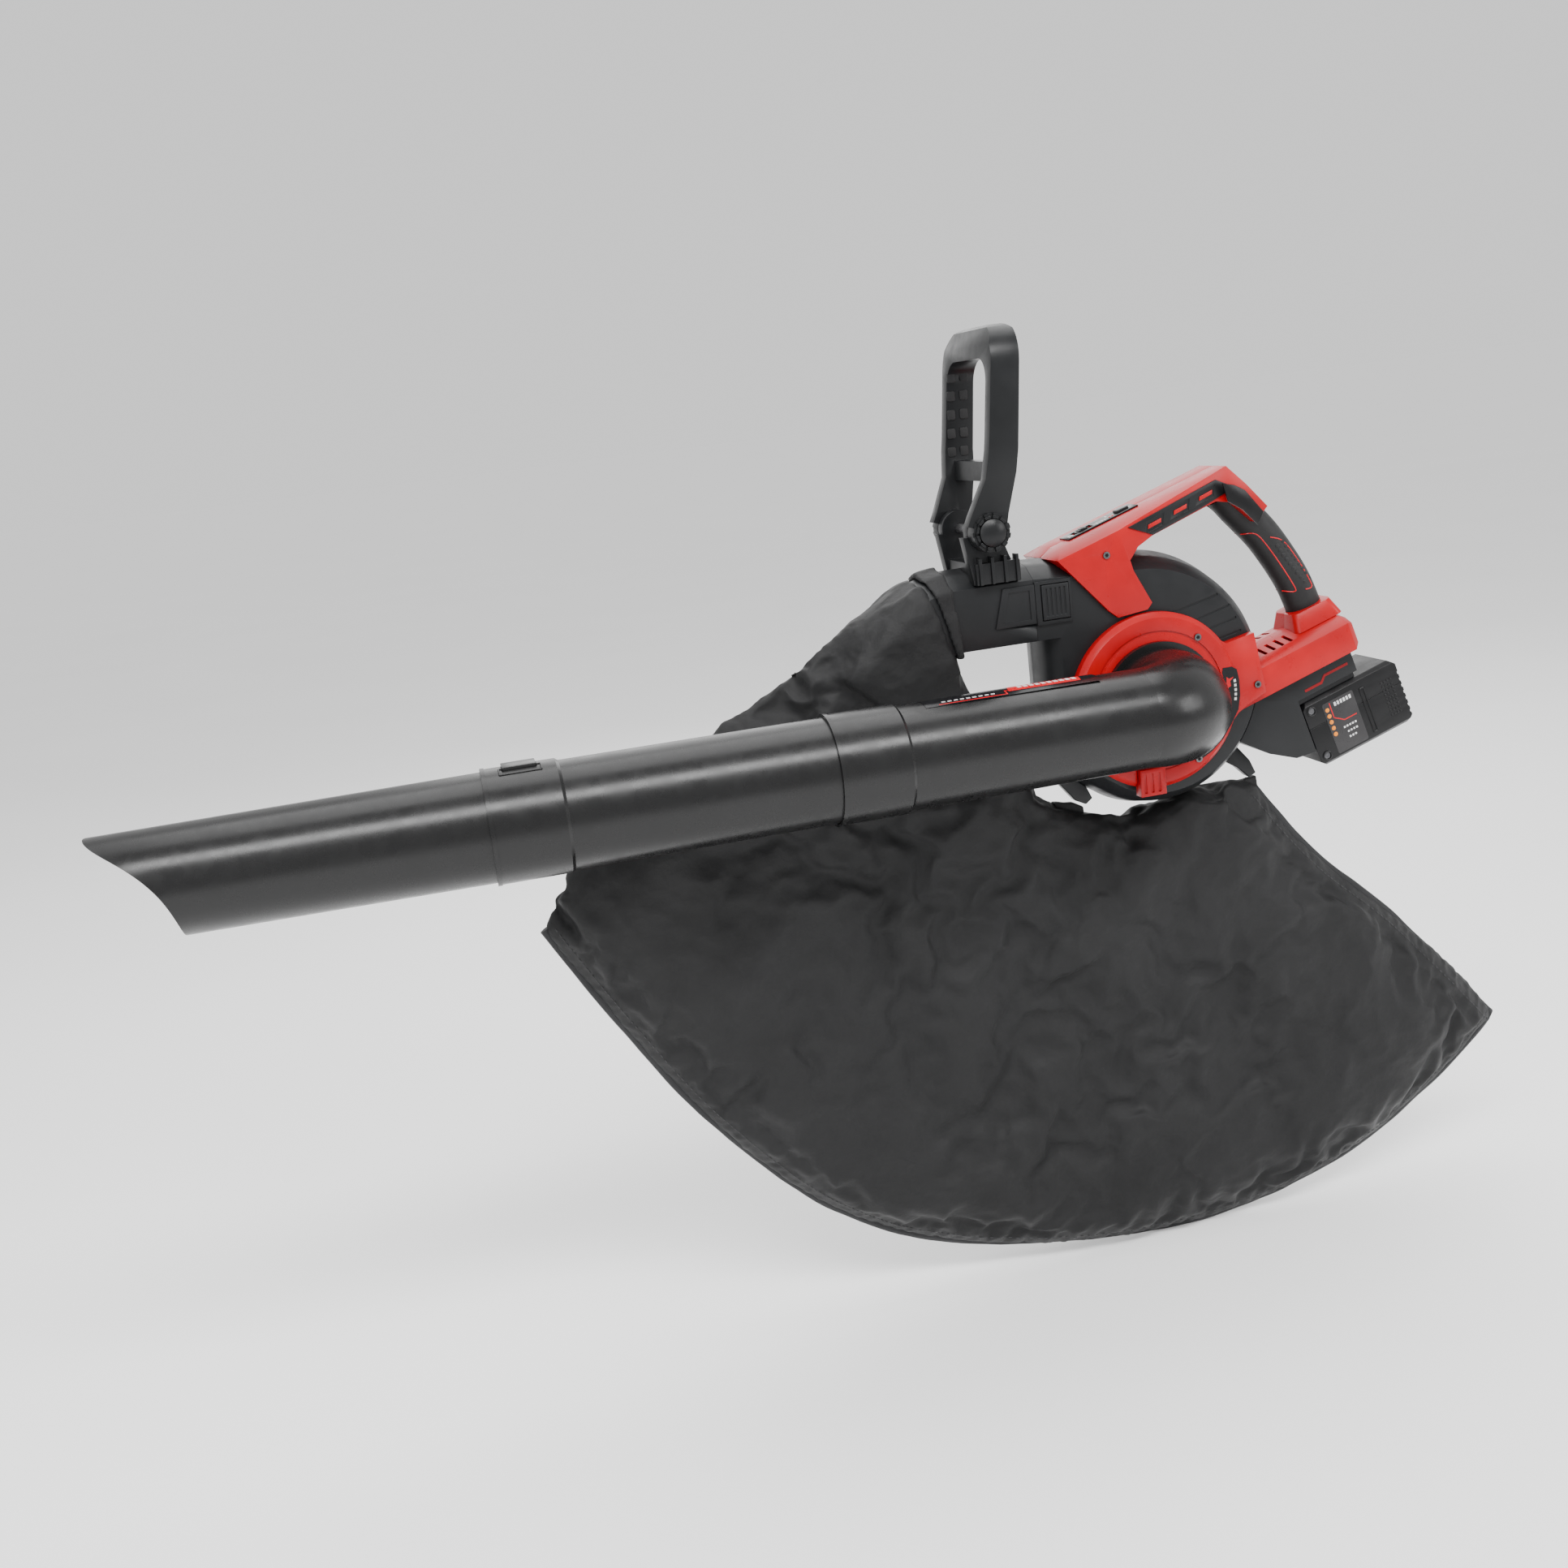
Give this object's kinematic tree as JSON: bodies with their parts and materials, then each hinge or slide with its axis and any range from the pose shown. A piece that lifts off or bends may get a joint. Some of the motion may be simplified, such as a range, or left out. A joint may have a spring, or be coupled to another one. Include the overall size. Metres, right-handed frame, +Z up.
{
  "type": "leaf blower",
  "caption": "Hand-held cordless garden blower and vacuum: side fan housing, long suction tube, looped front handle, sloping rear grip, slide-on battery and hanging debris bag.",
  "frame": {"origin": "centre of the rear hand grip, where the tool is held", "axes": "+Z up; -X along the suction tube towards its mouth, +X towards the battery; +Y from the intake side to the motor side, parallel to the fan's axis"},
  "size_m": [1.5077, 0.2768, 1.0581],
  "materials": {
    "housing_black": "satin moulded",
    "handle_black": "satin moulded",
    "tube_black": "blown, semi-gloss",
    "panel_black": "smooth",
    "battery_black": "fine texture",
    "housing_red": "satin gloss",
    "grip_rubber": "soft touch",
    "seal_rubber": "soft",
    "steel": "zinc plated",
    "motor_steel": "plain",
    "brass_contacts": "plain",
    "circuit_green": "lacquered board",
    "cell_blue": "shrink sleeve",
    "fan_grey": "glass filled",
    "bag_fabric": "woven polyester"
  },
  "bodies": {
    "machine": {"volute_near": "housing_black", "volute_far": "housing_black", "outlet_elbow": "housing_black", "handle_bracket": "handle_black", "handle_pivot_bolt": "steel", "lower_tube": "tube_black", "middle_tube": "tube_black", "suction_elbow": "tube_black", "intake_seal": "seal_rubber", "intake_cover": "housing_red", "arm_far": "housing_red", "rear_grip_near": "grip_rubber", "rear_grip_far": "grip_rubber", "switch_cable": "seal_rubber", "handle_near": "housing_red", "handle_far": "housing_red", "side_panel_near": "handle_black", "side_panel_far": "handle_black", "panel_inserts": "housing_red", "control_panel": "panel_black", "dial_cradle": "handle_black", "switch_module": "handle_black", "housing_screws": "steel", "battery_dock": "housing_black", "dock_rails": "housing_black", "dock_terminals": "brass_contacts", "controller_board": "circuit_green", "motor_can": "motor_steel", "front_bearing": "steel", "rear_bearing": "steel", "motor_cover": "housing_red", "debris_bag": "bag_fabric", "bag_cuff": "bag_fabric", "bag_hook_front": "housing_black", "bag_hook_rear": "housing_black", "bag_strap_front": "bag_fabric", "bag_strap_rear": "bag_fabric"},
    "rotor": {"motor_rotor": "motor_steel", "impeller": "fan_grey", "fan_nut": "steel"},
    "battery": {"battery_case_top": "battery_black", "battery_case_bottom": "battery_black", "battery_rail": "battery_black", "battery_cells": "cell_blue", "battery_board": "circuit_green"},
    "battery_button": {"battery_button": "battery_black"},
    "front_handle": {"front_handle": "handle_black"},
    "pivot_knob_near": {"pivot_knob_near": "handle_black"},
    "pivot_knob_far": {"pivot_knob_far": "handle_black"},
    "duct_latch_near": {"duct_latch_near": "housing_black"},
    "duct_latch_far": {"duct_latch_far": "housing_black"},
    "intake_lock": {"intake_lock": "housing_red"},
    "speed_dial": {"speed_dial": "panel_black"},
    "power_button": {"power_button": "panel_black"},
    "tube_catch": {"tube_catch": "tube_black"}
  },
  "joints": [
    {"name": "fan_spin", "type": "hinge", "parent": "machine", "child": "rotor", "pos_m": [-0.186, 0, -0.123], "axis": [0, 1, 0], "continuous": true},
    {"name": "battery_slide", "type": "slide", "parent": "machine", "child": "battery", "axis": [0.9511, 0, 0.309], "range_m": [0, 0.075]},
    {"name": "battery_button_press", "type": "slide", "parent": "battery", "child": "battery_button", "axis": [-0.9511, 0, -0.309], "range_m": [0, 0.0025], "stiffness_N_per_m": 900, "springref_m": -0.002},
    {"name": "front_handle_tilt", "type": "hinge", "parent": "machine", "child": "front_handle", "pos_m": [-0.359, 0, 0.0805], "axis": [0, 1, 0], "range_deg": [-45, 40]},
    {"name": "pivot_knob_near_press", "type": "slide", "parent": "front_handle", "child": "pivot_knob_near", "axis": [0, 1, 0], "range_m": [0, 0.0035], "stiffness_N_per_m": 800, "springref_m": -0.002},
    {"name": "pivot_knob_far_press", "type": "slide", "parent": "front_handle", "child": "pivot_knob_far", "axis": [0, -1, 0], "range_m": [0, 0.0035], "stiffness_N_per_m": 800, "springref_m": -0.002},
    {"name": "duct_latch_near_press", "type": "slide", "parent": "machine", "child": "duct_latch_near", "axis": [0, 1, 0], "range_m": [0, 0.003], "stiffness_N_per_m": 1000, "springref_m": -0.002},
    {"name": "duct_latch_far_press", "type": "slide", "parent": "machine", "child": "duct_latch_far", "axis": [0, -1, 0], "range_m": [0, 0.003], "stiffness_N_per_m": 1000, "springref_m": -0.002},
    {"name": "intake_lock_slide", "type": "slide", "parent": "machine", "child": "intake_lock", "axis": [0, 0, -1], "range_m": [0, 0.006], "stiffness_N_per_m": 500, "springref_m": -0.003},
    {"name": "speed_dial_turn", "type": "hinge", "parent": "machine", "child": "speed_dial", "pos_m": [-0.23145, 0, 0.0557], "axis": [0, 1, 0], "range_deg": [0, 250]},
    {"name": "power_button_press", "type": "slide", "parent": "machine", "child": "power_button", "axis": [0.309, 0, -0.9511], "range_m": [0, 0.003], "stiffness_N_per_m": 700, "springref_m": -0.002},
    {"name": "tube_catch_press", "type": "slide", "parent": "machine", "child": "tube_catch", "axis": [0, 0, -1], "range_m": [0, 0.0018], "stiffness_N_per_m": 800, "springref_m": -0.002}
  ]
}
